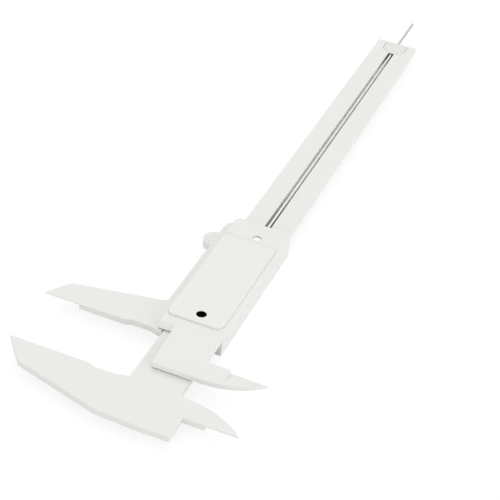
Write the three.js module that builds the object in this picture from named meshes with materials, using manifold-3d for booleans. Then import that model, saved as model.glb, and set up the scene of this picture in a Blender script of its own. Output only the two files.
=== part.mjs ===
// A moulded plastic vernier caliper, lying on its front face and partly open.
// Lengths are in millimetres and angles in radians. X runs along the beam from the fixed
// measuring face to the free end, Y points to the long outside jaws, Z to the back.
import * as THREE from 'three';
import { mergeVertices } from 'three/addons/utils/BufferGeometryUtils.js';
import Module from 'manifold-3d';

const wasm = await Module();
wasm.setup();

// Driving dimensions
const restOpening = 20.8;
const sliderLength = 58.5;
const beamWidth = 15;
const beamThickness = 2;
const beamEnd = 219.5;
const footLength = 15.8;
const frontPlateThickness = 2.7;
const backPlateThickness = 1.7;
const coverHeight = 0.7;
const runningClearance = 0.3;
const fitClearance = 0.1;

// Heights above the surface that the caliper lies on
const beamFront = frontPlateThickness + runningClearance;
const beamBack = beamFront + beamThickness;
const backUnderside = beamBack + runningClearance;
const backTop = backUnderside + backPlateThickness;
const coverTop = backTop + coverHeight;

// Outside jaws: long knife-tipped jaws that close on each other
const beamSide = beamWidth / 2;
const fixedTipReach = 43.5;
const movingTipReach = 44.2;
const fixedTipWidth = 8.2;
const fixedTipSlant = 7.1;
const fixedHeelX = 15.2;
const fixedHeelReach = 10.7;
const reliefDepth = 0.8;
const reliefStart = beamSide + 1;
const reliefRise = 3.6;
const reliefEnd = 19.6;
const reliefFall = 2.6;
const knifeReach = 33.3;
const knifeLand = 0.5;
const knifeBevel = 3.4;
const cornerRadius = 2;

// Inside jaws: short curved blades whose outer edges measure a hole
const bladeEdgeX = -7.65;
const bladeWidth = 7.1;
const bladeTipReach = 27;
const bladeTipWidth = 0.4;
const bladeRootSag = 7;
const bladeTipLead = 5.5;
const bladeTipAngle = 0.775;
const bladeKnifeReach = 16.4;
const bladeKnifeStep = 1.2;
const bladeLand = 0.5;
const bladeBevel = 5;
const footReach = 11.4;
const bladeFillet = 1.5;

// Groove along the beam's back, with the rod and its guide
const rodRadius = 0.5;
const rodBendRadius = 1.2;
const rodHeadRadius = 1.1;
const rodHeadHeight = 0.45;
const grooveWidth = 2.2;
const grooveDepth = 1.5;
const grooveStart = 44;
const socketFromEnd = 6.9;
const socketRadius = 1.3;
const socketDepth = 1;
const guideWidth = 8.5;
const guideDepth = 1;
const guideLength = 8.5;
const guideTunnelClearance = 0.2;

// Slider
const wallThickness = 1.2;
const wallStart = 3.7;
const railWidth = 4.2;
const seatOverlap = 1.6;
const movingJawWidth = 12.9;
const jawTaper = 0.217;
const movingTipWidth = 7.5;
const movingTipSlant = 4.9;
const wallCornerRadius = 2;
const railCornerRadius = 3.5;
const backCornerRadius = 2;
const tongueLength = 14.8;
const tongueEndEdge = 4;
const tongueRootEdge = 4.8;
const tongueShoulder = 0.8;
const shoulderLand = 0.5;
const shoulderRun = 1.6;

// Window in the front plate, whose long edges slope down to the scales on the beam
const windowStart = 12;
const windowEndWall = 10.5;
const windowWidth = 8;
const windowSlope = 2.2;
const windowLip = 0.5;

// Thumb rest
const thumbFromEnd = 7.5;
const thumbLength = 7;
const thumbReach = 3.5;
const thumbThickness = 2.7;

// Raised cover and the leaf spring in it
const coverStart = 5.8;
const lipLength = 8.7;
const coverWallInset = 1.4;
const coverRailInset = 0.3;
const coverWall = 0.9;
const coverSkin = 0.4;
const coverSlope = 2.8;
const coverRadius = 1.8;
const coverWideRadius = 2.6;
const holeX = 9.4;
const holeRadius = 1.5;
const springStart = 7;
const springEndGap = 9;
const springFoot = 3.5;
const springCrown = 5;
const springWidth = 6;
const springThickness = 0.25;

// Fineness of the curves
const curveSteps = 10;
const roundSteps = 24;
const weldDistance = 0.0001;
const cutMargin = 1;
const joinOverlap = 1;

const fullTurn = 2 * Math.PI;
const railInner = beamSide + runningClearance;
const railOuter = railInner + railWidth;
const wallOuter = railInner + wallThickness;
const rodHeight = beamBack - grooveDepth + rodRadius + fitClearance / 2;
const windowEnd = sliderLength - windowEndWall;
const coverFoot = sliderLength - lipLength;
const coverEnd = coverFoot - coverSlope;
const springEnd = coverEnd - coverWall - springEndGap;
const socketX = sliderLength - socketFromEnd;

// Turns a closed geometry into a solid that can be joined and cut
function solidOf(geometry) {
  geometry.deleteAttribute('normal');
  geometry.deleteAttribute('uv');
  const welded = mergeVertices(geometry, weldDistance);
  const mesh = new wasm.Mesh({
    numProp: 3,
    vertProperties: new Float32Array(welded.attributes.position.array),
    triVerts: new Uint32Array(welded.index.array),
  });
  return new wasm.Manifold(mesh);
}

// Moves an extrusion of X-Y outlines onto other axes: first, second and depth direction
function turned(geometry, first, second, depth) {
  return geometry.applyMatrix4(new THREE.Matrix4().makeBasis(first, second, depth));
}

const alongX = new THREE.Vector3(1, 0, 0);
const alongY = new THREE.Vector3(0, 1, 0);
const alongZ = new THREE.Vector3(0, 0, 1);

function extrusion(outline, depth) {
  return new THREE.ExtrudeGeometry(outline, { depth, bevelEnabled: false, curveSegments: curveSteps });
}

// A flat plate with an X-Y outline between two heights
function plate(outline, bottom, top) {
  return solidOf(extrusion(outline, top - bottom).translate(0, 0, bottom));
}

// A bar with a Y-Z section from one X to another
function barAlong(section, fromX, toX) {
  const bar = turned(extrusion(section, toX - fromX), alongY, alongZ, alongX);
  return solidOf(bar.translate(fromX, 0, 0));
}

// A bar with a Z-X section from one Y to another
function barAcross(section, fromY, toY) {
  const bar = turned(extrusion(section, toY - fromY), alongZ, alongX, alongY);
  return solidOf(bar.translate(0, fromY, 0));
}

function polygon(points) {
  return new THREE.Shape(points.map(([x, y]) => new THREE.Vector2(x, y)));
}

function rectangle(fromX, toX, fromY, toY) {
  return polygon([[fromX, fromY], [toX, fromY], [toX, toY], [fromX, toY]]);
}

function block(fromX, toX, fromY, toY, bottom, top) {
  return plate(rectangle(fromX, toX, fromY, toY), bottom, top);
}

function disc(x, y, radius, bottom, top) {
  const geometry = new THREE.CylinderGeometry(radius, radius, top - bottom, roundSteps);
  return solidOf(geometry.rotateX(Math.PI / 2).translate(x, y, (bottom + top) / 2));
}

// A rectangle whose corners have the given radii, in order around it from the lowest X and Y.
// A corner with no radius stays sharp.
function roundedRectangle(fromX, toX, fromY, toY, radii) {
  const [lowNear, lowFar, highFar, highNear] = radii;
  const quarter = fullTurn / 4;
  const shape = new THREE.Shape();
  shape.moveTo(fromX + lowNear, fromY);
  const corners = [
    [toX - lowFar, fromY + lowFar, lowFar, 3 * quarter],
    [toX - highFar, toY - highFar, highFar, 0],
    [fromX + highNear, toY - highNear, highNear, quarter],
    [fromX + lowNear, fromY + lowNear, lowNear, 2 * quarter],
  ];
  for (const [centreX, centreY, radius, start] of corners) {
    if (radius > 0) {
      shape.absarc(centreX, centreY, radius, start, start + quarter, false);
    } else {
      shape.lineTo(centreX, centreY);
    }
  }
  return shape;
}

// Draws the measuring side of an outside jaw from its root to its tip. The shallow relief
// near the beam lies behind the measuring face, on the side that the sign gives.
function measuringSide(shape, side, tipReach) {
  const floor = side * reliefDepth;
  const reliefFloorEnd = reliefEnd - reliefFall;
  shape.lineTo(0, reliefStart);
  shape.bezierCurveTo(
    0, reliefStart + reliefRise / 2,
    floor, reliefStart + reliefRise / 2,
    floor, reliefStart + reliefRise,
  );
  shape.lineTo(floor, reliefFloorEnd);
  shape.bezierCurveTo(
    floor, reliefFloorEnd + reliefFall / 2,
    0, reliefEnd - reliefFall / 2,
    0, reliefEnd,
  );
  shape.lineTo(0, tipReach);
}

// Cuts the bevel of a knife edge. The slope passes through the edge line at its own height
// and leaves the plate at the height of one of its faces, a bevel's width further in.
function knifeCut(edgeX, side, bevel, edgeHeight, faceHeight, fromY, toY) {
  const slope = (faceHeight - edgeHeight) / bevel;
  const outerX = edgeX - side * cutMargin;
  const innerX = edgeX + side * (bevel + cutMargin);
  const outerHeight = edgeHeight - slope * cutMargin;
  const innerHeight = faceHeight + slope * cutMargin;
  const corners = [
    [outerHeight, outerX],
    [innerHeight, innerX],
    [innerHeight, outerX],
  ];
  return barAcross(polygon(corners), fromY, toY);
}

// Draws an inside jaw along its straight measuring edge, round its tip and back along the
// curve, on the side of the edge that the sign gives
function drawBlade(shape, side, width, rootReach) {
  const tipX = bladeEdgeX + side * bladeTipWidth;
  const backX = bladeEdgeX + side * width;
  shape.lineTo(bladeEdgeX, -bladeTipReach);
  shape.lineTo(tipX, -bladeTipReach);
  shape.bezierCurveTo(
    tipX + side * bladeTipLead * Math.sin(bladeTipAngle),
    -bladeTipReach + bladeTipLead * Math.cos(bladeTipAngle),
    backX, -rootReach - bladeRootSag,
    backX, -rootReach,
  );
}

// Main beam: bar, fixed jaws and foot in one moulding
function makeMainBeam() {
  const heel = fixedHeelX + (footLength - fixedHeelX) / 2;
  const outline = new THREE.Shape();
  outline.moveTo(beamEnd, -beamSide);
  outline.lineTo(beamEnd, beamSide);
  outline.lineTo(0, beamSide);
  measuringSide(outline, -1, fixedTipReach);
  outline.lineTo(-fixedTipWidth, fixedTipReach - fixedTipSlant);
  outline.lineTo(-fixedHeelX, fixedHeelReach);
  outline.quadraticCurveTo(-heel, beamSide, -footLength, 0);
  outline.lineTo(-footLength, -footReach);
  outline.lineTo(bladeEdgeX, -footReach);
  drawBlade(outline, 1, bladeWidth, beamSide + bladeFillet);
  const bladeRoot = bladeEdgeX + bladeWidth;
  outline.quadraticCurveTo(bladeRoot, -beamSide, bladeRoot + bladeFillet, -beamSide);
  const bar = plate(outline, beamFront, beamBack);

  const outsideKnife = knifeCut(
    0, -1, knifeBevel, beamBack - knifeLand, beamFront, knifeReach, fixedTipReach + cutMargin,
  );
  const insideKnife = knifeCut(
    bladeEdgeX, 1, bladeBevel, beamBack - bladeLand, beamFront,
    -bladeTipReach - cutMargin, -bladeKnifeReach - bladeKnifeStep,
  );
  const blank = bar.subtract(outsideKnife).subtract(insideKnife);

  const groove = block(
    grooveStart, beamEnd + cutMargin, -grooveWidth / 2, grooveWidth / 2,
    beamBack - grooveDepth, beamBack + cutMargin,
  );
  const guideSeat = plate(
    guideOutline(guideWidth, cutMargin),
    beamBack - guideDepth, beamBack + cutMargin,
  );
  return blank.subtract(groove).subtract(guideSeat);
}

// The guide's U-shaped outline, which may run past the beam's end
function guideOutline(width, pastEnd) {
  const radius = width / 2;
  const centreX = beamEnd - guideLength + guideWidth / 2;
  const shape = new THREE.Shape();
  shape.moveTo(beamEnd + pastEnd, -radius);
  shape.lineTo(beamEnd + pastEnd, radius);
  shape.lineTo(centreX, radius);
  shape.absarc(centreX, 0, radius, fullTurn / 4, 3 * fullTurn / 4, false);
  return shape;
}

// Rod guide: flush insert with a tunnel over the rod
function makeRodGuide() {
  const outline = guideOutline(guideWidth - 2 * fitClearance, 0);
  const insert = plate(outline, beamBack - guideDepth, beamBack);
  const tunnelSide = rodRadius + guideTunnelClearance;
  const tunnel = block(
    beamEnd - guideLength - cutMargin, beamEnd + cutMargin, -tunnelSide, tunnelSide,
    beamBack - guideDepth - cutMargin, rodHeight + rodRadius + fitClearance,
  );
  return insert.subtract(tunnel);
}

// Slider frame: front plate, rail, side wall, moving outside jaw and thumb rest
function makeSliderFrame() {
  const corners = [0, wallCornerRadius, railCornerRadius, 0];
  const faceOutline = roundedRectangle(wallStart, sliderLength, -wallOuter, railOuter, corners);
  let frame = plate(faceOutline, 0, beamBack);
  const channel = block(
    wallStart - cutMargin, sliderLength + cutMargin, -railInner, railInner,
    frontPlateThickness, beamBack + cutMargin,
  );
  frame = frame.subtract(channel);

  const backEdgeX = (reach) => movingJawWidth - jawTaper * (reach - railOuter - bladeFillet);
  const tipCorner = movingTipReach - movingTipSlant;
  const jaw = new THREE.Shape();
  jaw.moveTo(0, railInner);
  measuringSide(jaw, 1, movingTipReach);
  const slantLength = Math.hypot(movingTipWidth, movingTipSlant);
  const slantBack = cornerRadius / slantLength;
  jaw.lineTo(movingTipWidth * (1 - slantBack), tipCorner + movingTipSlant * slantBack);
  jaw.quadraticCurveTo(
    movingTipWidth, tipCorner,
    backEdgeX(tipCorner - cornerRadius), tipCorner - cornerRadius,
  );
  jaw.lineTo(backEdgeX(railOuter + bladeFillet), railOuter + bladeFillet);
  jaw.quadraticCurveTo(
    backEdgeX(railOuter), railOuter,
    movingJawWidth + bladeFillet, railOuter,
  );
  jaw.lineTo(movingJawWidth + bladeFillet, railInner);
  frame = frame.add(plate(jaw, beamFront, beamBack));
  const knife = knifeCut(
    0, 1, knifeBevel, beamBack - knifeLand, beamFront, knifeReach, movingTipReach + cutMargin,
  );
  frame = frame.subtract(knife).add(makeThumbRest());
  return frame.subtract(makeWindow());
}

// The opening of the vernier window, wider at the front face than at the beam
function makeWindow() {
  const inner = windowWidth / 2;
  const outer = inner + windowSlope;
  const section = polygon([
    [-outer, -cutMargin],
    [outer, -cutMargin],
    [outer, 0],
    [inner, frontPlateThickness - windowLip],
    [inner, frontPlateThickness + runningClearance],
    [-inner, frontPlateThickness + runningClearance],
    [-inner, frontPlateThickness - windowLip],
    [-outer, 0],
  ]);
  return barAlong(section, windowStart, windowEnd);
}

// Thumb rest: a half-round pad beside the rail, flush with the rail's back
function makeThumbRest() {
  const farX = sliderLength - thumbFromEnd;
  const radius = thumbLength / 2;
  const outline = roundedRectangle(
    farX - thumbLength, farX, railOuter - joinOverlap, railOuter + thumbReach, [0, 0, radius, radius],
  );
  return plate(outline, beamBack - thumbThickness, beamBack);
}

// Slider back: plate with the tongue, moving inside jaw and the lip for the rod
function makeSliderBack() {
  const seatOuter = railInner + seatOverlap;
  const outline = new THREE.Shape();
  outline.moveTo(sliderLength, seatOuter - backCornerRadius);
  outline.lineTo(sliderLength, -wallOuter + wallCornerRadius);
  outline.quadraticCurveTo(sliderLength, -wallOuter, sliderLength - wallCornerRadius, -wallOuter);
  outline.lineTo(bladeEdgeX + bladeFillet, -wallOuter);
  outline.quadraticCurveTo(bladeEdgeX, -wallOuter, bladeEdgeX, -wallOuter - bladeFillet);
  drawBlade(outline, -1, tongueLength + bladeEdgeX, wallOuter + bladeFillet);
  outline.lineTo(-tongueLength, tongueEndEdge);
  outline.lineTo(tongueShoulder, tongueRootEdge);
  outline.lineTo(tongueShoulder, seatOuter);
  outline.lineTo(sliderLength - backCornerRadius, seatOuter);
  outline.quadraticCurveTo(sliderLength, seatOuter, sliderLength, seatOuter - backCornerRadius);
  const blank = plate(outline, beamBack, backTop);

  const tongueRelief = block(
    -tongueLength - cutMargin, wallStart, -bladeTipReach - cutMargin, seatOuter + cutMargin,
    beamBack - cutMargin, backUnderside,
  );
  const channel = block(
    wallStart - cutMargin, sliderLength + cutMargin, -railInner, railInner,
    beamBack - cutMargin, backUnderside,
  );
  const knife = knifeCut(
    bladeEdgeX, -1, bladeBevel, backUnderside + bladeLand, backTop,
    -bladeTipReach - cutMargin, -bladeKnifeReach,
  );
  const springWindow = block(
    springStart - fitClearance, springEnd + fitClearance,
    -springWidth / 2 - fitClearance, springWidth / 2 + fitClearance,
    backUnderside - cutMargin, backTop + cutMargin,
  );
  const socket = disc(socketX, 0, socketRadius, backTop - socketDepth, backTop + cutMargin);
  const rodHole = disc(socketX, 0, rodRadius + fitClearance, backUnderside - cutMargin, backTop);
  const ramp = barAcross(
    polygon([
      [backUnderside + shoulderLand, tongueShoulder],
      [backTop, tongueShoulder + shoulderRun],
      [backTop + cutMargin, tongueShoulder + shoulderRun],
      [backTop + cutMargin, tongueShoulder - cutMargin],
      [backUnderside + shoulderLand, tongueShoulder - cutMargin],
    ]),
    tongueRootEdge, seatOuter + cutMargin,
  );
  const cuts = [tongueRelief, channel, ramp, knife, springWindow, socket, rodHole];
  return cuts.reduce((solid, cut) => solid.subtract(cut), blank);
}

// Back cover: a shallow hollow box, open underneath, with a sloped far end
function makeBackCover() {
  const nearY = -wallOuter + coverWallInset;
  const farY = railInner + seatOverlap - coverRailInset;
  const radii = [coverWideRadius, 0, coverRadius, coverRadius];
  const outline = roundedRectangle(coverStart, coverFoot, nearY, farY, radii);
  const hollow = rectangle(
    coverStart + coverWall, coverEnd - coverWall,
    nearY + coverWall, farY - coverWall,
  );
  const slope = barAcross(
    polygon([
      [backTop, coverFoot],
      [coverTop, coverEnd],
      [coverTop + cutMargin, coverEnd],
      [coverTop + cutMargin, coverFoot + cutMargin],
      [backTop, coverFoot + cutMargin],
    ]),
    nearY - cutMargin, farY + cutMargin,
  );
  const cover = plate(outline, backTop, coverTop);
  const inside = plate(hollow, backTop - cutMargin, coverTop - coverSkin);
  const hole = disc(holeX, 0, holeRadius, backTop, coverTop + cutMargin);
  return cover.subtract(inside).subtract(slope).subtract(hole);
}

// Tension spring: a leaf with flat feet on the beam and a flat crown under the cover
function makeTensionSpring() {
  const low = beamBack;
  const high = coverTop - coverSkin - springThickness;
  const middle = (springStart + springEnd) / 2;
  const leaf = [
    [low, springStart],
    [low, springStart + springFoot],
    [high, middle - springCrown],
    [high, middle + springCrown],
    [low, springEnd - springFoot],
    [low, springEnd],
  ];
  const raised = leaf.map(([z, x]) => [z + springThickness, x]).reverse();
  const section = polygon([...leaf, ...raised]);
  return barAcross(section, -springWidth / 2, springWidth / 2);
}

// A round wire along stations in the X-Z plane, each with its centre and direction angle
function wire(stations, radius) {
  const positions = [];
  for (const station of stations) {
    for (let step = 0; step < roundSteps; step += 1) {
      const angle = (step / roundSteps) * fullTurn;
      const lift = radius * Math.sin(angle);
      positions.push(
        station.x - lift * Math.sin(station.direction),
        radius * Math.cos(angle),
        station.z + lift * Math.cos(station.direction),
      );
    }
  }
  const last = stations.length - 1;
  const startCentre = positions.length / 3;
  positions.push(stations[0].x, 0, stations[0].z, stations[last].x, 0, stations[last].z);
  const triangles = [];
  for (let step = 0; step < roundSteps; step += 1) {
    const next = (step + 1) % roundSteps;
    for (let ring = 0; ring < last; ring += 1) {
      const near = ring * roundSteps;
      const far = near + roundSteps;
      triangles.push(near + step, near + next, far + next, near + step, far + next, far + step);
    }
    const end = last * roundSteps;
    triangles.push(startCentre, next, step, startCentre + 1, end + step, end + next);
  }
  const geometry = new THREE.BufferGeometry();
  geometry.setAttribute('position', new THREE.Float32BufferAttribute(positions, 3));
  geometry.setIndex(triangles);
  return solidOf(geometry);
}

// Depth rod: a wire that rises through the lip and is headed over in its socket
function makeDepthRod() {
  const seatHeight = backTop - socketDepth;
  const bendX = socketX + rodBendRadius;
  const bendZ = rodHeight + rodBendRadius;
  const stations = [{ x: socketX, z: seatHeight + rodHeadHeight / 2, direction: -fullTurn / 4 }];
  for (let step = 0; step <= curveSteps; step += 1) {
    const direction = (fullTurn / 4) * (step / curveSteps - 1);
    stations.push({
      x: bendX + rodBendRadius * Math.sin(direction),
      z: bendZ - rodBendRadius * Math.cos(direction),
      direction,
    });
  }
  stations.push({ x: beamEnd, z: rodHeight, direction: 0 });
  const head = disc(socketX, 0, rodHeadRadius, seatHeight, seatHeight + rodHeadHeight);
  return wire(stations, rodRadius).add(head);
}

// Finished pieces
const plastic = { color: 0xecebe4, roughness: 0.45, metalness: 0 };
const coverPlastic = { color: 0xeae9e2, roughness: 0.4, metalness: 0 };
const steel = { color: 0xb4b5b6, roughness: 0.3, metalness: 1 };

const caliper = new THREE.Group();
caliper.name = 'vernier_caliper';

function addPiece(name, solid, finish, offsetX) {
  const mesh = solid.translate([offsetX, 0, 0]).getMesh();
  const geometry = new THREE.BufferGeometry();
  geometry.setAttribute('position', new THREE.BufferAttribute(mesh.vertProperties, mesh.numProp));
  geometry.setIndex(new THREE.BufferAttribute(mesh.triVerts, 1));
  geometry.computeVertexNormals();
  const piece = new THREE.Mesh(geometry, new THREE.MeshStandardMaterial(finish));
  piece.name = name;
  caliper.add(piece);
}

addPiece('main_beam', makeMainBeam(), plastic, 0);
addPiece('rod_guide', makeRodGuide(), coverPlastic, 0);
addPiece('slider_frame', makeSliderFrame(), plastic, restOpening);
addPiece('slider_back', makeSliderBack(), plastic, restOpening);
addPiece('back_cover', makeBackCover(), coverPlastic, restOpening);
addPiece('tension_spring', makeTensionSpring(), steel, restOpening);
addPiece('depth_rod', makeDepthRod(), steel, restOpening);

// Centres the caliper over the origin and stands it on the zero plane
const bounds = new THREE.Box3().setFromObject(caliper);
const middle = bounds.getCenter(new THREE.Vector3());
for (const piece of caliper.children) {
  piece.geometry.translate(-middle.x, -middle.y, -bounds.min.z);
}

export default caliper;
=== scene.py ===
"""Finishes, scales, light and camera for a moulded plastic vernier caliper.

Lengths are in metres. X runs along the beam from the jaws to its free end, Y points to the
tips of the long outside jaws and Z to the caliper's back. The caliper lies on its front.
"""

import math

import bmesh
import bpy
from mathutils import Matrix, Quaternion, Vector


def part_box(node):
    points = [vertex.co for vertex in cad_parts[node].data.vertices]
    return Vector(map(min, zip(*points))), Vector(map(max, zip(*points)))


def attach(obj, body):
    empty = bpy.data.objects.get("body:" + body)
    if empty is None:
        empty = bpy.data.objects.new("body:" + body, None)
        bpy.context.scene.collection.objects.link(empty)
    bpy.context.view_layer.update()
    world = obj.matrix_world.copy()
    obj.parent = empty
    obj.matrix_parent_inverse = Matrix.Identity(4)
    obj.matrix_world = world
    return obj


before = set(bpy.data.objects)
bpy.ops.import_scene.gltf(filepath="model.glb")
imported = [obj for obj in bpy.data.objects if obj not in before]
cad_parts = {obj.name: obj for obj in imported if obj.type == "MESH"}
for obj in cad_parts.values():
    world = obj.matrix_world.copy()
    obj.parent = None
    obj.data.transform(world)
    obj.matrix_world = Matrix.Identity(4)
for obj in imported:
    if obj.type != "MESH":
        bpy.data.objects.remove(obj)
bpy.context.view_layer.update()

MM = 0.001
INCH = 25.4 * MM

# Places on the caliper, from its parts
BEAM_LOW, BEAM_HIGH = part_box("main_beam")
GUIDE_LOW, GUIDE_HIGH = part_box("rod_guide")
FRAME_LOW, FRAME_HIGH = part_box("slider_frame")
BEAM_LENGTH = 219.5 * MM
BEAM_AXIS = (GUIDE_LOW.y + GUIDE_HIGH.y) / 2
FIXED_FACE = BEAM_HIGH.x - BEAM_LENGTH
MOVING_FACE = FRAME_LOW.x

# Window in the slider's front plate
WINDOW_HALF_WIDTH = 4 * MM
WINDOW_SLOPE = 2.2 * MM
WINDOW_LIP = 0.5 * MM
FRONT_PLATE = 2.7 * MM

# Scales: the zero mark lies under the vernier's zero when the jaws are closed
SCALE_ZERO = 16 * MM
SCALE_MILLIMETRES = 150
SCALE_INCHES = 6
MILLIMETRES_PER_NUMBER = 10
INCH_PARTS = 16
TICK_WIDTH = 0.16 * MM
TICK_EDGE = 4.25 * MM
INK_HEIGHT = 0.02 * MM
INK_SINK = 0.02 * MM
DIGIT_HEIGHT = 1.4 * MM
DIGIT_PLACE = 0.85 * MM
FONT_DIGIT_SHARE = 0.73
DIGIT_CURVE_STEPS = 3

# Lengths of the marks, by how many divisions lie between two marks of that kind
MILLIMETRE_MARKS = {MILLIMETRES_PER_NUMBER: 2.5 * MM, 5: 2.1 * MM, 1: 1.6 * MM}
INCH_MARKS = {INCH_PARTS: 2.5 * MM, 8: 2.2 * MM, 4: 1.9 * MM, 2: 1.6 * MM, 1: 1.2 * MM}

# Verniers on the window's two sloping edges
VERNIER_PARTS = 10
VERNIER_STEP = 1.9 * MM
VERNIER_PARTS_PER_NUMBER = 5
INCH_VERNIER_PARTS = 8
INCH_VERNIER_SPAN = 7 / 16 * INCH
INCH_VERNIER_STEP = INCH_VERNIER_SPAN / INCH_VERNIER_PARTS
INCH_VERNIER_PARTS_PER_NUMBER = 4
VERNIER_EDGE = 0.1 * MM
VERNIER_LONG_MARK = 1.3 * MM
VERNIER_SHORT_MARK = 0.9 * MM
VERNIER_DIGIT_PLACE = 2.15 * MM
VERNIER_DIGIT_HEIGHT = 1.1 * MM

# Roundness of the moulded edges
EDGE_RADIUS = 0.16 * MM
EDGE_SEGMENTS = 3
ROD_EDGE_RADIUS = 0.08 * MM
SPRING_EDGE_RADIUS = 0.05 * MM
WELD_DISTANCE = 0.001 * MM
FLAT_ANGLE = math.radians(1)
SHARP_ANGLE = math.radians(28)

# Colours of the mouldings, pale and deep, and their roughness
WARM_WHITE = (0.85, 0.85, 0.825, 1)
DEEP_WHITE = (0.83, 0.83, 0.8, 1)
COVER_WHITE = (0.86, 0.86, 0.835, 1)
DEEP_COVER_WHITE = (0.84, 0.84, 0.81, 1)
GUIDE_WHITE = (0.81, 0.81, 0.78, 1)
DEEP_GUIDE_WHITE = (0.79, 0.79, 0.76, 1)
BEAM_ROUGHNESS = 0.42
SLIDER_ROUGHNESS = 0.4
COVER_ROUGHNESS = 0.38
GUIDE_ROUGHNESS = 0.36

# Marks in the moulded plastic: sizes, shares in the colour and gloss, and heights
CLOUD_SIZE = 14 * MM
CLOUD_SHARE = 0.6
FLOW_SIZE = 5 * MM
FLOW_STRETCH = (6, 1, 1)
FLOW_SHARE = 0.4
FLOW_GLOSS = 0.08
RUB_SIZE = 0.35 * MM
RUB_STRETCH = (60, 1, 1)
RUB_START = 0.6
RUB_FULL = 0.72
RUB_GLOSS = 0.06
RUB_HEIGHT = 0.001 * MM
GRAIN_SIZE = 0.16 * MM
GRAIN_GLOSS = 0.1
GRAIN_HEIGHT = 0.0012 * MM
WAVE_SIZE = 9 * MM
WAVE_HEIGHT = 0.015 * MM
NOISE_MIDDLE = 0.5

# How far light enters the plastic
PLASTIC_REFRACTION = 1.52
PLASTIC_DEPTH_SHARE = 0.12
PLASTIC_DEPTH_COLOUR = (1.0, 0.9, 0.75)
PLASTIC_DEPTH = 0.6 * MM

# Steel of the rod and the spring, and the marks in it
ROD_BRIGHT_TONE = 0.82
ROD_DULL_COLOUR = (0.68, 0.67, 0.65, 1)
ROD_ROUGHNESS = 0.3
# The spring's near-black tones are painted shade, so that the hole in the cover looks dark
SPRING_SHADE_TONE = 0.06
SPRING_DEEP_SHADE_TONE = 0.03
SPRING_ROUGHNESS = 0.35
LINE_SIZE = 0.07 * MM
LINE_STRETCH = (120, 1, 1)
LINE_SHARE = 0.4
LINE_GLOSS = 0.16
LINE_HEIGHT = 0.001 * MM
PATCH_SIZE = 4 * MM
PATCH_START = 0.45
PATCH_FULL = 0.7
PATCH_SHARE = 0.6
PATCH_GLOSS = 0.1

# Handled end of the depth rod, which has lost its shine
ROD_TARNISH_START = BEAM_HIGH.x - 4 * MM
ROD_TARNISH_END = BEAM_HIGH.x
ROD_TARNISH_TONE = 0.56

# Painted shade deep in the rod's groove, strongest near the slider's far end and from the rod guide
# on
GROOVE_HALF_WIDTH = 1.1 * MM
GROOVE_DEPTH = 1.5 * MM
GROOVE_SHADE_MARGIN = 0.1 * MM
GROOVE_SHADE_RIM_DEPTH = 0.3 * MM
GROOVE_SHADE_FULL_DEPTH = 1.1 * MM
GROOVE_SHADE_START = FRAME_HIGH.x - 25 * MM
SLIDER_SHADE_CREST = FRAME_HIGH.x + 5 * MM
SLIDER_SHADE_END = FRAME_HIGH.x + 26 * MM
GUIDE_SHADE_START = GUIDE_LOW.x - 12 * MM
SLIDER_SHADE_SHARE = 0.4
GROOVE_SHADE_SHARE = 0.9
GROOVE_SHADE_TONE = 0.03

# Painted shade on the rod's flanks near the slider
ROD_UNSHADED_DEPTH = 0.6 * MM
ROD_SHADE_DEPTH = 0.9 * MM
ROD_SHADE_SHARE = 0.95
ROD_SHADE_TONE = 0.04

# Printing ink, fresh and worn
INK_WEAR_SIZE = 0.5 * MM
INK_TONE = 0.012
WORN_INK_TONE = 0.05
INK_ROUGHNESS = 0.45
INK_WEAR_ROUGHNESS = 0.2

# Floor: its tone as a surface that spreads light, and the tones that make up its white
FLOOR_HALF_SIZE = 3.0
FLOOR_DROP = 0.02 * MM
PAPER_TONE = 0.78
SEEN_PAPER_TONE = 0.25
SEEN_GLOW_TONE = 0.8

# Strength of the light from all round
ROOM_LIGHT = 0.80

# Soft boxes: name, direction, power, and whether they show in the caliper's gloss
LAMP_DISTANCE = 1.3
LAMP_SIZE = 0.8
LAMPS = (
    ("top_lamp", (0.55, 0.25, 0.8), 1.9, True),
    ("side_lamp", (-0.1, -0.97, 0.22), 4.3, False),
    ("front_lamp", (-0.97, 0.1, 0.22), 2.0, False),
)

# Photograph's viewpoint, with the sensor and the lens in millimetres
CAMERA_PLACE = Vector((-367.2, -112.1, 255.3)) * MM
CAMERA_AZIMUTH = math.radians(-72.18)
CAMERA_ELEVATION = math.radians(36.41)
CAMERA_ROLL = math.radians(7.0)
CAMERA_NEAR = 10 * MM
CAMERA_FAR = 10.0
SENSOR_WIDTH = 36
CAMERA_LENS = 100.8


class Field:
    """A number or colour that varies over a surface: a socket that takes part in sums."""

    def __init__(self, finish, socket):
        self.finish = finish
        self.socket = socket

    def __add__(self, other):
        return self.finish.maths("ADD", self, other)

    def __sub__(self, other):
        return self.finish.maths("SUBTRACT", self, other)

    def __mul__(self, other):
        return self.finish.maths("MULTIPLY", self, other)

    def __radd__(self, other):
        return self.finish.maths("ADD", other, self)

    def __rsub__(self, other):
        return self.finish.maths("SUBTRACT", other, self)

    def __rmul__(self, other):
        return self.finish.maths("MULTIPLY", other, self)


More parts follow.
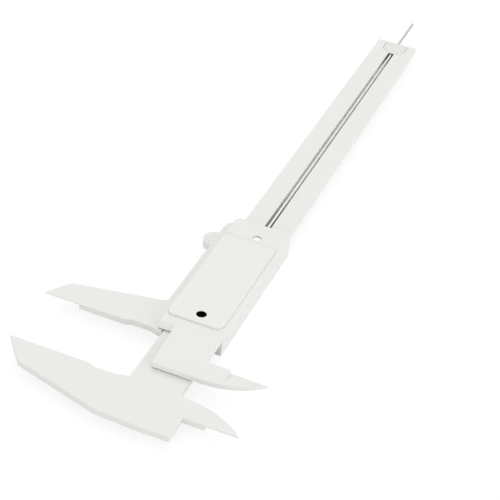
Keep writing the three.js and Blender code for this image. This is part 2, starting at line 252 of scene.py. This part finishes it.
class Finish:
    """One material, made node by node."""

    def __init__(self, tree):
        self.tree = tree
        self.tree.nodes.clear()

    @classmethod
    def of_material(cls, name):
        material = bpy.data.materials.new(name)
        material.use_nodes = True
        finish = cls(material.node_tree)
        finish.material = material
        return finish

    def node(self, kind, settings, sockets, output=0):
        """Adds a node: its settings first, then the values or links of its sockets."""
        made = self.tree.nodes.new(kind)
        for name, value in settings.items():
            if name == "stops":
                for element, (place, shade) in zip(made.color_ramp.elements, value):
                    element.position = place
                    element.color = shade
            else:
                setattr(made, name, value)
        for name, value in sockets.items():
            if isinstance(value, Field):
                self.tree.links.new(value.socket, made.inputs[name])
            else:
                made.inputs[name].default_value = value
        return None if output is None else Field(self, made.outputs[output])

    def maths(self, operation, first, second):
        return self.node("ShaderNodeMath", {"operation": operation}, {0: first, 1: second})

    def place(self, stretch=(1, 1, 1)):
        """Where on the caliper a point lies, squeezed along each axis by its stretch."""
        here = self.node("ShaderNodeTexCoord", {}, {}, "Object")
        squeeze = Vector((1 / stretch[0], 1 / stretch[1], 1 / stretch[2]))
        return self.node(
            "ShaderNodeVectorMath", {"operation": "MULTIPLY"}, {0: here, 1: squeeze}
        )

    def coordinate(self, axis):
        """Where on the caliper a point lies along X, Y or Z."""
        here = self.node("ShaderNodeTexCoord", {}, {}, "Object")
        return self.node("ShaderNodeSeparateXYZ", {}, {"Vector": here}, axis)

    def rise(self, value, start, end):
        """Goes evenly from 0 to 1 while the value goes from the start to the end."""
        sockets = {"Value": value, "From Min": start, "From Max": end}
        return self.node("ShaderNodeMapRange", {}, sockets, "Result")

    def noise(self, size, detail=2, stretch=(1, 1, 1)):
        """Soft noise about a half, whose lumps are as large as the given size."""
        sockets = {"Vector": self.place(stretch), "Scale": 1 / size, "Detail": detail}
        return self.node("ShaderNodeTexNoise", {}, sockets, "Fac")

    def ramp(self, value, low, high):
        """Goes from 0 to 1 while the value goes from low to high."""
        stops = ((low, (0, 0, 0, 1)), (high, (1, 1, 1, 1)))
        return self.node("ShaderNodeValToRGB", {"stops": stops}, {"Fac": value})

    def mix(self, share, first, second):
        """The first colour, turning into the second as the share rises."""
        return self.node(
            "ShaderNodeMix", {"data_type": "RGBA"}, {0: share, 6: first, 7: second}, 2
        )

    def painted_groove_shade(self):
        """Painted shade: rises to 1 deep in the rod's groove near the slider and from the rod guide
        on, and is 0 elsewhere.
        """
        x = self.coordinate("X")
        near_slider = self.rise(x, GROOVE_SHADE_START, FRAME_HIGH.x) * self.rise(x, SLIDER_SHADE_END, SLIDER_SHADE_CREST)
        by_slider = SLIDER_SHADE_SHARE * near_slider
        by_guide = self.rise(x, GUIDE_SHADE_START, GUIDE_LOW.x)
        off_axis = self.maths("ABSOLUTE", self.coordinate("Y") - BEAM_AXIS, 0)
        in_width = self.maths("LESS_THAN", off_axis, GROOVE_HALF_WIDTH + GROOVE_SHADE_MARGIN)
        depth = BEAM_HIGH.z - self.coordinate("Z")
        in_depth = self.maths("LESS_THAN", depth, GROOVE_DEPTH + GROOVE_SHADE_MARGIN)
        deep = self.rise(depth, GROOVE_SHADE_RIM_DEPTH, GROOVE_SHADE_FULL_DEPTH)
        return self.maths("MAXIMUM", by_slider, by_guide) * deep * in_width * in_depth

    def painted_rod_shade(self):
        """Painted shade: 1 on the rod's flanks near the slider, and 0 on its back and far from the
        slider.
        """
        by_slider = self.rise(self.coordinate("X"), SLIDER_SHADE_END, SLIDER_SHADE_CREST)
        depth = BEAM_HIGH.z - self.coordinate("Z")
        return by_slider * self.rise(depth, ROD_UNSHADED_DEPTH, ROD_SHADE_DEPTH)

    def bump(self, height):
        """Raises the surface by a height in metres."""
        return self.node("ShaderNodeBump", {}, {"Height": height, "Distance": 1.0})

    def seen_directly(self):
        """1 where the camera or a mirroring surface looks, 0 where light spreads."""
        seen = self.node("ShaderNodeLightPath", {}, {}, "Is Camera Ray")
        mirrored = self.node("ShaderNodeLightPath", {}, {}, "Is Glossy Ray")
        return self.maths("MAXIMUM", seen, mirrored)

    def show(self, shader, kind="ShaderNodeOutputMaterial"):
        self.node(kind, {}, {"Surface": shader}, None)


def grey(level):
    return (level, level, level, 1)


def moulded_plastic(name, pale, deep, roughness, with_painted_groove_shade=False):
    """Warm white moulding: faint flow marks, a fine mould grain and long sliding rubs, with painted
    shade deep in the rod's groove when asked.
    """
    finish = Finish.of_material(name)
    cloud = finish.noise(CLOUD_SIZE, detail=3)
    flow = finish.noise(FLOW_SIZE, detail=4, stretch=FLOW_STRETCH)
    rub = finish.ramp(finish.noise(RUB_SIZE, stretch=RUB_STRETCH), RUB_START, RUB_FULL)
    grain = finish.noise(GRAIN_SIZE, detail=3)
    wave = finish.noise(WAVE_SIZE, detail=1)
    colour = finish.mix(CLOUD_SHARE * cloud + FLOW_SHARE * flow, deep, pale)
    if with_painted_groove_shade:
        # Painted shade: the groove goes near black deep down, where the shadow between rod and
        # walls falls
        colour = finish.mix(GROOVE_SHADE_SHARE * finish.painted_groove_shade(), colour, grey(GROOVE_SHADE_TONE))
    uneven = roughness + GRAIN_GLOSS * (grain - NOISE_MIDDLE) + FLOW_GLOSS * (flow - NOISE_MIDDLE)
    gloss = uneven - RUB_GLOSS * rub
    skin = finish.bump(GRAIN_HEIGHT * grain + WAVE_HEIGHT * wave - RUB_HEIGHT * rub)
    shader = finish.node(
        "ShaderNodeBsdfPrincipled",
        {},
        {
            "Base Color": colour,
            "Roughness": gloss,
            "Normal": skin,
            "IOR": PLASTIC_REFRACTION,
            "Subsurface Weight": PLASTIC_DEPTH_SHARE,
            "Subsurface Radius": PLASTIC_DEPTH_COLOUR,
            "Subsurface Scale": PLASTIC_DEPTH,
        },
    )
    finish.show(shader)
    return finish.material


def drawn_steel(name, bright, dull, roughness):
    """Steel with fine drawing lines, dull patches, painted shade on its flanks near the slider, and
    a tarnished far end.
    """
    finish = Finish.of_material(name)
    lines = finish.noise(LINE_SIZE, detail=3, stretch=LINE_STRETCH)
    patches = finish.ramp(finish.noise(PATCH_SIZE, detail=4), PATCH_START, PATCH_FULL)
    clean = finish.mix(PATCH_SHARE * patches + LINE_SHARE * lines, bright, dull)
    tarnish = finish.rise(finish.coordinate("X"), ROD_TARNISH_START, ROD_TARNISH_END)
    worn = finish.mix(tarnish, clean, grey(ROD_TARNISH_TONE))
    # Painted shade: the flanks go near black low in the groove near the slider
    colour = finish.mix(ROD_SHADE_SHARE * finish.painted_rod_shade(), worn, grey(ROD_SHADE_TONE))
    gloss = roughness + LINE_GLOSS * (lines - NOISE_MIDDLE) + PATCH_GLOSS * patches
    skin = finish.bump(LINE_HEIGHT * lines)
    shader = finish.node(
        "ShaderNodeBsdfPrincipled",
        {},
        {"Base Color": colour, "Metallic": 1.0, "Roughness": gloss, "Normal": skin},
    )
    finish.show(shader)
    return finish.material


def scale_ink(name):
    """Matt black printing ink, worn a little unevenly."""
    finish = Finish.of_material(name)
    wear = finish.noise(INK_WEAR_SIZE, detail=4)
    colour = finish.mix(wear, grey(INK_TONE), grey(WORN_INK_TONE))
    shader = finish.node(
        "ShaderNodeBsdfPrincipled",
        {},
        {"Base Color": colour, "Roughness": INK_ROUGHNESS + INK_WEAR_ROUGHNESS * wear},
    )
    finish.show(shader)
    return finish.material


def smooth_shading():
    """A modifier's node group that shades all faces smoothly."""
    group = bpy.data.node_groups.new("smooth_shading", "GeometryNodeTree")
    group.interface.new_socket("Geometry", in_out="INPUT", socket_type="NodeSocketGeometry")
    group.interface.new_socket("Geometry", in_out="OUTPUT", socket_type="NodeSocketGeometry")
    start = group.nodes.new("NodeGroupInput")
    smooth = group.nodes.new("GeometryNodeSetShadeSmooth")
    end = group.nodes.new("NodeGroupOutput")
    group.links.new(start.outputs["Geometry"], smooth.inputs["Geometry"])
    group.links.new(smooth.outputs["Geometry"], end.inputs["Geometry"])
    return group


def soften(part, radius, shading):
    """Rounds the sharp edges of a part and shades its curves smoothly."""
    joined = part.modifiers.new("joined_corners", "WELD")
    joined.merge_threshold = WELD_DISTANCE
    whole = part.modifiers.new("whole_faces", "DECIMATE")
    whole.decimate_type = "DISSOLVE"
    whole.angle_limit = FLAT_ANGLE
    smooth = part.modifiers.new("smooth_faces", "NODES")
    smooth.node_group = shading
    edges = part.modifiers.new("soft_edges", "BEVEL")
    edges.width = radius
    edges.segments = EDGE_SEGMENTS
    edges.limit_method = "ANGLE"
    edges.angle_limit = SHARP_ANGLE
    edges.use_clamp_overlap = False
    edges.loop_slide = False
    edges.harden_normals = True
    even = part.modifiers.new("even_shading", "WEIGHTED_NORMAL")
    even.keep_sharp = True


def face_frame(origin, up):
    """The frame of a printed face: first axis along the beam, second up, third outward."""
    along = Vector((1, 0, 0))
    up = up.normalized()
    outward = along.cross(up)
    axes = Matrix((along, up, outward)).transposed().to_4x4()
    return Matrix.Translation(origin) @ axes


class Printing:
    """Raised ink marks and numbers on one or more faces, gathered in one mesh."""

    def __init__(self, name, body, ink):
        self.name = name
        self.body = body
        self.ink = ink
        self.shape = bmesh.new()

    def mark(self, face, x, low, high):
        """A straight mark across the scale from one height to another."""
        corners = []
        for depth in (-INK_SINK, INK_HEIGHT):
            for across, up in ((-1, low), (1, low), (1, high), (-1, high)):
                place = face @ Vector((x + across * TICK_WIDTH / 2, up, depth))
                corners.append(self.shape.verts.new(place))
        near, far = corners[:4], corners[4:]
        self.shape.faces.new(near[::-1])
        self.shape.faces.new(far)
        for side in range(4):
            after = (side + 1) % 4
            self.shape.faces.new((near[side], near[after], far[after], far[side]))

    def number(self, face, text, x, middle, height):
        """A number centred on a place."""
        curve = bpy.data.curves.new("number", "FONT")
        curve.body = text
        curve.size = height / FONT_DIGIT_SHARE
        curve.align_x = "CENTER"
        curve.align_y = "CENTER"
        curve.extrude = (INK_HEIGHT + INK_SINK) / 2
        curve.resolution_u = DIGIT_CURVE_STEPS
        letter = bpy.data.objects.new("number", curve)
        mesh = bpy.data.meshes.new_from_object(letter)
        lift = Vector((x, middle, (INK_HEIGHT - INK_SINK) / 2))
        mesh.transform(face @ Matrix.Translation(lift))
        self.shape.from_mesh(mesh)
        bpy.data.objects.remove(letter)
        bpy.data.curves.remove(curve)
        bpy.data.meshes.remove(mesh)

    def finish(self):
        """Turns the gathered ink into a piece that moves with its body."""
        mesh = bpy.data.meshes.new(self.name)
        self.shape.to_mesh(mesh)
        self.shape.free()
        mesh.materials.append(self.ink)
        piece = bpy.data.objects.new(self.name, mesh)
        bpy.context.scene.collection.objects.link(piece)
        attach(piece, self.body)


def longest_mark(marks, part):
    """The widest spacing of marks that a division falls on."""
    return next(spacing for spacing in marks if part % spacing == 0)


def print_beam_scales(ink):
    """Millimetres beside the outside jaws, inches beside the inside jaws."""
    zero = Vector((FIXED_FACE + SCALE_ZERO, BEAM_AXIS, BEAM_LOW.z))
    face = face_frame(zero, Vector((0, -1, 0)))
    printing = Printing("beam_scales", "beam", ink)
    for millimetre in range(SCALE_MILLIMETRES + 1):
        spacing = longest_mark(MILLIMETRE_MARKS, millimetre)
        x = millimetre * MM
        printing.mark(face, x, -TICK_EDGE, -TICK_EDGE + MILLIMETRE_MARKS[spacing])
        if spacing == MILLIMETRES_PER_NUMBER:
            text = str(millimetre // MILLIMETRES_PER_NUMBER)
            printing.number(face, text, x, -DIGIT_PLACE, DIGIT_HEIGHT)
    for part in range(SCALE_INCHES * INCH_PARTS + 1):
        spacing = longest_mark(INCH_MARKS, part)
        x = part * INCH / INCH_PARTS
        printing.mark(face, x, TICK_EDGE - INCH_MARKS[spacing], TICK_EDGE)
        if spacing == INCH_PARTS:
            printing.number(face, str(part // INCH_PARTS), x, DIGIT_PLACE, DIGIT_HEIGHT)
    printing.finish()


def print_verniers(ink):
    """The two verniers on the window's sloping edges."""
    inner_height = FRONT_PLATE - WINDOW_LIP
    zero = MOVING_FACE + SCALE_ZERO
    lower = face_frame(
        Vector((zero, BEAM_AXIS + WINDOW_HALF_WIDTH, inner_height)),
        Vector((0, -WINDOW_SLOPE, inner_height)),
    )
    upper = face_frame(
        Vector((zero, BEAM_AXIS - WINDOW_HALF_WIDTH, inner_height)),
        Vector((0, -WINDOW_SLOPE, -inner_height)),
    )
    printing = Printing("vernier_scales", "slider", ink)
    for part in range(VERNIER_PARTS + 1):
        numbered = part % VERNIER_PARTS_PER_NUMBER == 0
        length = VERNIER_LONG_MARK if numbered else VERNIER_SHORT_MARK
        x = part * VERNIER_STEP
        printing.mark(lower, x, -VERNIER_EDGE - length, -VERNIER_EDGE)
        if numbered:
            printing.number(lower, str(part), x, -VERNIER_DIGIT_PLACE, VERNIER_DIGIT_HEIGHT)
    for part in range(INCH_VERNIER_PARTS + 1):
        numbered = part % INCH_VERNIER_PARTS_PER_NUMBER == 0
        length = VERNIER_LONG_MARK if numbered else VERNIER_SHORT_MARK
        x = part * INCH_VERNIER_STEP
        printing.mark(upper, x, VERNIER_EDGE, VERNIER_EDGE + length)
        if numbered:
            printing.number(upper, str(part), x, VERNIER_DIGIT_PLACE, VERNIER_DIGIT_HEIGHT)
    printing.finish()


def dress_parts():
    """Gives each part of the caliper its finish and soft edges."""
    beam = moulded_plastic("beam_plastic", WARM_WHITE, DEEP_WHITE, BEAM_ROUGHNESS, with_painted_groove_shade=True)
    slider = moulded_plastic("slider_plastic", WARM_WHITE, DEEP_WHITE, SLIDER_ROUGHNESS)
    cover = moulded_plastic("cover_plastic", COVER_WHITE, DEEP_COVER_WHITE, COVER_ROUGHNESS)
    guide = moulded_plastic("guide_plastic", GUIDE_WHITE, DEEP_GUIDE_WHITE, GUIDE_ROUGHNESS)
    rod = drawn_steel("rod_steel", grey(ROD_BRIGHT_TONE), ROD_DULL_COLOUR, ROD_ROUGHNESS)
    # Near-black spring steel: painted shade for the cavity seen through the cover's hole
    spring = drawn_steel(
        "spring_steel", grey(SPRING_SHADE_TONE), grey(SPRING_DEEP_SHADE_TONE), SPRING_ROUGHNESS
    )
    dressed = {
        "main_beam": (beam, EDGE_RADIUS),
        "rod_guide": (guide, ROD_EDGE_RADIUS),
        "slider_frame": (slider, EDGE_RADIUS),
        "slider_back": (slider, EDGE_RADIUS),
        "back_cover": (cover, EDGE_RADIUS),
        "tension_spring": (spring, SPRING_EDGE_RADIUS),
        "depth_rod": (rod, ROD_EDGE_RADIUS),
    }
    shading = smooth_shading()
    for name, (material, radius) in dressed.items():
        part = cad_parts[name]
        part.data.materials.clear()
        part.data.materials.append(material)
        soften(part, radius, shading)


def add_floor():
    """A plain pale floor that the camera sees as white, apart from the shadows on it."""
    size = FLOOR_HALF_SIZE
    mesh = bpy.data.meshes.new("floor")
    corners = [(-size, -size, 0), (size, -size, 0), (size, size, 0), (-size, size, 0)]
    mesh.from_pydata(corners, [], [(0, 1, 2, 3)])
    finish = Finish.of_material("floor_paper")
    paper = finish.node("ShaderNodeBsdfDiffuse", {}, {"Color": grey(PAPER_TONE)})
    pale_paper = finish.node("ShaderNodeBsdfDiffuse", {}, {"Color": grey(SEEN_PAPER_TONE)})
    glow = finish.node("ShaderNodeEmission", {}, {"Color": grey(SEEN_GLOW_TONE), "Strength": 1.0})
    white = finish.node("ShaderNodeAddShader", {}, {0: pale_paper, 1: glow})
    shader = finish.node("ShaderNodeMixShader", {}, {0: finish.seen_directly(), 1: paper, 2: white})
    finish.show(shader)
    mesh.materials.append(finish.material)
    floor = bpy.data.objects.new("floor", mesh)
    floor.location.z = -FLOOR_DROP
    bpy.context.scene.collection.objects.link(floor)


def add_world():
    """Even studio light from all round, white where the camera or a gloss sees it."""
    world = bpy.data.worlds.new("studio")
    world.use_nodes = True
    bpy.context.scene.world = world
    finish = Finish(world.node_tree)
    room = finish.node("ShaderNodeBackground", {}, {"Color": grey(1.0), "Strength": ROOM_LIGHT})
    white = finish.node("ShaderNodeBackground", {}, {"Color": grey(1.0), "Strength": 1.0})
    shader = finish.node("ShaderNodeMixShader", {}, {0: finish.seen_directly(), 1: room, 2: white})
    finish.show(shader, "ShaderNodeOutputWorld")


def add_lamp(name, direction, power, mirrored):
    """A square soft box that faces the caliper, and shows in its gloss where mirrored."""
    lamp = bpy.data.lights.new(name, "AREA")
    lamp.shape = "SQUARE"
    lamp.size = LAMP_SIZE
    lamp.energy = power
    box = bpy.data.objects.new(name, lamp)
    away = Vector(direction).normalized()
    box.location = away * LAMP_DISTANCE
    box.rotation_mode = "QUATERNION"
    box.rotation_quaternion = away.to_track_quat("Z", "Y")
    box.visible_glossy = mirrored
    bpy.context.scene.collection.objects.link(box)


def add_camera():
    """The photograph's viewpoint."""
    data = bpy.data.cameras.new("camera")
    data.sensor_width = SENSOR_WIDTH
    data.lens = CAMERA_LENS
    data.clip_start = CAMERA_NEAR
    data.clip_end = CAMERA_FAR
    camera = bpy.data.objects.new("camera", data)
    level = math.cos(CAMERA_ELEVATION)
    back = Vector(
        (
            math.sin(CAMERA_AZIMUTH) * level,
            -math.cos(CAMERA_AZIMUTH) * level,
            math.sin(CAMERA_ELEVATION),
        )
    )
    camera.location = CAMERA_PLACE
    camera.rotation_mode = "QUATERNION"
    tilt = Quaternion((0, 0, 1), CAMERA_ROLL)
    camera.rotation_quaternion = (-back).to_track_quat("-Z", "Y") @ tilt
    bpy.context.scene.collection.objects.link(camera)
    bpy.context.scene.camera = camera


dress_parts()
ink = scale_ink("scale_ink")
print_beam_scales(ink)
print_verniers(ink)
add_floor()
add_world()
for lamp_name, direction, power, mirrored in LAMPS:
    add_lamp(lamp_name, direction, power, mirrored)
add_camera()
bpy.context.scene.view_settings.view_transform = "Standard"
